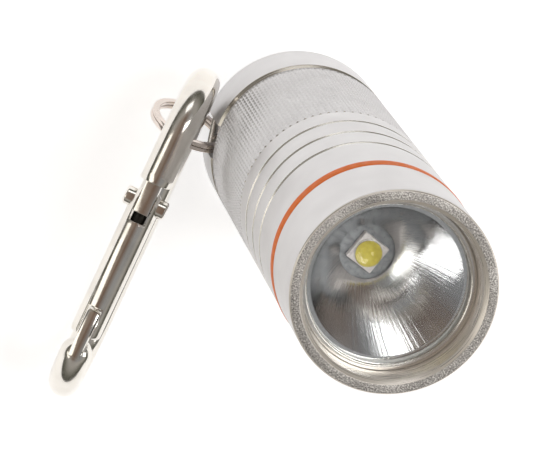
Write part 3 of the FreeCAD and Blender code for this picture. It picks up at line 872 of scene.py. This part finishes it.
def make_gate():
    """The gate: a bar with a round root, forked over the tongue and slotted over the nose."""
    steps = 12
    round_end = []
    for i in range(steps + 1):
        a = 0.5 * math.pi * i / steps
        round_end.append((GATE_R * math.cos(a), -GATE_R * math.sin(a)))
    tip = [(0.0, GATE_LENGTH), (GATE_R, GATE_LENGTH), (GATE_R, 5.0)]
    turned = [tuple(p) for p in eased(tip, GATE_END_ROUND, False, 5)]
    turned += [(GATE_R, 2.5)] + round_end
    lay = Matrix.Rotation(0.5 * math.pi, 4, "Y")
    gate = moved(lathe("gate_bar", turned, 64, closed=False), GATE_PLACE @ lay)
    joined(gate, bar("fork_tool", -4.0, 2.1, 8.0, 1.9), "DIFFERENCE")
    joined(gate, bar("nose_tool", 11.9, GATE_LENGTH + 1, 8.0, 1.7), "DIFFERENCE")
    worn_edges(gate, 0.12, 50)
    return clothe(sharpened(gate, 45), CHROME)


def make_rivet():
    """A shank with a rounded head at each end."""
    base = GATE_R - 0.25
    top = base + RIVET_HEAD_THICK
    sunk = base - 0.6
    head = [
        (RIVET_R - 0.05, sunk),
        (RIVET_HEAD_R, sunk),
        (RIVET_HEAD_R, top - 0.15, 0.4),
        (0.82, top, 0.3),
        (0.0, top),
    ]
    upper = [(0.0, 0.0), (RIVET_R, 0.0), (RIVET_R, sunk)]
    upper += [tuple(p) for p in eased(head, 0.15, False, 5)]
    lower = [(r, -z) for r, z in upper]
    outline = list(reversed(upper))[:-1] + lower[1:]
    return clothe(sharpened(pin_mesh("rivet_headed", outline), 50), CHROME)


# ---------------------------------------------------------------- building

# each piece, the body it rides on, the node it stands for and its material slot
PIECES = [
    (make_tube(), "tube", "body_tube", "anodised_aluminium"),
    (make_head(), "head", "head_shell", "anodised_aluminium"),
    (make_retainer(), "head", "retaining_ring", "bare_aluminium"),
    (make_lens(), "head", "lens", "lens_glass"),
    (make_cup(), "head", "reflector", "mirror_coat"),
    (make_seal(), "seal", "orange_seal", "orange_rubber"),
    (make_split_ring(), "ring", "split_ring", "polished_steel"),
    (make_hook(), "carabiner", "carabiner_body", "polished_steel"),
    (make_gate(), "gate", "carabiner_gate", "polished_steel"),
    (make_rivet(), "gate", "gate_rivet", "polished_steel"),
]
LED_PIECES = zip(
    make_led(),
    ("led_package", "led_phosphor", "led_dome"),
    ("white_ceramic", "yellow_phosphor", "dome_silicone"),
)
for piece, node, slot_name in LED_PIECES:
    PIECES.append((piece, "head", node, slot_name))
for piece, body, node, slot_name in PIECES:
    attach(piece, body)
    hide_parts(node)

# the nodes whose own shape stays
KEPT = {
    "lanyard_pin": STEEL,
    "lens_seal": SILICONE,
    "led_spacer": CLEAR,
    "led_board": BOARD,
    "heat_sink": BRASS,
    "driver_board": GREEN,
    "driver_resistor": CHIP,
    "thread_seal": BLACK,
    "front_contact_spring": BRASS,
    "tail_spring": BRASS,
    "battery_sleeve": CLEAR,
    "button_cell_1": STEEL,
    "button_cell_2": STEEL,
    "button_cell_3": STEEL,
    "button_cell_4": STEEL,
    # the plunger carries painted shade for the slot it sits in
    "gate_plunger": PLUNGER_PAINTED_SHADE,
    "gate_spring": STEEL,
}
for node, material in KEPT.items():
    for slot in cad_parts[node].material_slots:
        slot.link = "OBJECT"
        slot.material = material

# ---------------------------------------------------------------- floor, light and camera

FLOOR_Z = -0.02
LIGHT_DISTANCE = 600


def make_floor():
    corners = [(x, y, FLOOR_Z) for x, y in ((-2000, -2000), (2000, -2000), (2000, 2000), (-2000, 2000))]
    floor = mesh_object("floor", corners, [(0, 1, 2, 3)])
    paint = Paint("pale_floor", (0.80, 0.80, 0.80), 0.0, 0.6)
    paint.set("Emission Color", (1, 1, 1, 1))
    paint.set("Emission Strength", 0.66)
    clothe(floor, paint.material)


make_floor()

EYE = Vector((-98.39, 62.49, 360.18))
RIGHT = Vector((0.8920, 0.4206, 0.1655)).normalized()
BACK = Vector((-0.2646, 0.1891, 0.9456)).normalized()
UP = BACK.cross(RIGHT).normalized()


def look_matrix(place, back, up_hint):
    """A camera or light at a place in millimetres, facing against back."""
    back = back.normalized()
    right = up_hint.cross(back).normalized()
    up = back.cross(right)
    turn = Matrix((right, up, back)).transposed().to_4x4()
    return Matrix.Translation(place * MM) @ turn


camera_data = bpy.data.cameras.new("camera")
camera_data.lens = 229.09
camera_data.sensor_width = 36.0
camera_data.clip_start = 0.01
camera = add_object("camera", camera_data)
camera.matrix_world = look_matrix(EYE, BACK, UP)
bpy.context.scene.camera = camera

AIM = Vector((-3, 0, 30))


def softbox(name, way, width, height, power, colour=(1, 1, 1)):
    """A rectangular light that faces the object from the given direction."""
    way = way.normalized()
    data = bpy.data.lights.new(name, "AREA")
    data.shape = "RECTANGLE"
    data.size = width * MM
    data.size_y = height * MM
    data.energy = power
    data.color = colour
    light = add_object(name, data)
    light.matrix_world = look_matrix(AIM + way * LIGHT_DISTANCE, way, UP)


softbox("key_left", Vector((-0.75, -0.34, 0.55)), 300, 420, 0.5, (1.0, 0.97, 0.89))
softbox("overhead", Vector((0.36, 0.33, 1.05)), 240, 240, 0.95, (1.0, 0.985, 0.96))
softbox("right", Vector((0.90, 0.30, 0.60)), 260, 260, 0.45)
softbox("top", Vector((-0.25, 0.75, 0.45)), 300, 160, 0.2)

# the studio's walls, from the ground up: dark olive, then a paler brown grey
WALLS = [
    (0.0, (0.06, 0.058, 0.045)),
    (0.22, (0.16, 0.155, 0.13)),
    (0.5, (0.42, 0.40, 0.37)),
    (1.0, (0.36, 0.34, 0.32)),
]
# its ceiling, from left to right: brown, darkest left of the middle, and grey on the right
CEILING = [
    (0.30, (0.30, 0.24, 0.20)),
    (0.39, (0.20, 0.135, 0.10)),
    (0.50, (0.25, 0.21, 0.19)),
    (0.65, (0.33, 0.33, 0.33)),
]
CEILING_BLEND = [(0.6, 0), (0.8, 1)]


world = bpy.data.worlds.new("studio")
world.use_nodes = True
sky_tree = world.node_tree
background = sky_tree.nodes["Background"]
background.inputs["Strength"].default_value = 0.9
coord = sky_tree.nodes.new("ShaderNodeTexCoord")
split = sky_tree.nodes.new("ShaderNodeSeparateXYZ")
sky_tree.links.new(coord.outputs["Generated"], split.inputs[0])
walls = ramp(sky_tree, split.outputs[2], WALLS)
sideways = sky_tree.nodes.new("ShaderNodeMapRange")
sideways.inputs["From Min"].default_value = -1.0
sky_tree.links.new(split.outputs[0], sideways.inputs["Value"])
ceiling = ramp(sky_tree, sideways.outputs[0], CEILING)
upward = ramp(sky_tree, split.outputs[2], CEILING_BLEND)
blend = sky_tree.nodes.new("ShaderNodeMix")
blend.data_type = "RGBA"
sky_tree.links.new(upward, blend.inputs[0])
sky_tree.links.new(walls, blend.inputs[6])
sky_tree.links.new(ceiling, blend.inputs[7])
sky_tree.links.new(blend.outputs[2], background.inputs["Color"])
bpy.context.scene.world = world
bpy.context.scene.view_settings.view_transform = "Standard"
